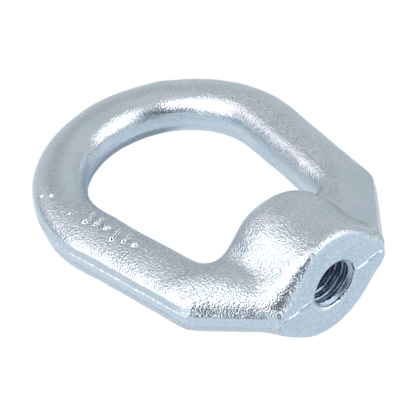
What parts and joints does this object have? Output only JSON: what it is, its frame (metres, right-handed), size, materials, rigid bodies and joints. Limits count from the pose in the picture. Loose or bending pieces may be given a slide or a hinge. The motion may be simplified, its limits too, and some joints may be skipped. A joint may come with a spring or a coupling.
{
  "type": "oval eye nut",
  "caption": "Drop-forged oval eye nut: an egg-shaped lifting and guying eye in one piece with a tapped boss, zinc plated.",
  "frame": {"origin": "centre of the bore mouth on the bearing face, on the parting plane of the forging", "axes": "+Y along the bore axis from the bearing face towards the eye, +Z normal to the plane of the eye, +X along the bearing face"},
  "size_m": [0.0712, 0.091, 0.03],
  "materials": {
    "zinc_plated_steel": "bright zinc plate, faintly blue, over a shot-blasted drop forging; smooth where the flash was trimmed"
  },
  "bodies": {
    "root": {"eye_nut_forging": "zinc_plated_steel"}
  },
  "joints": []
}
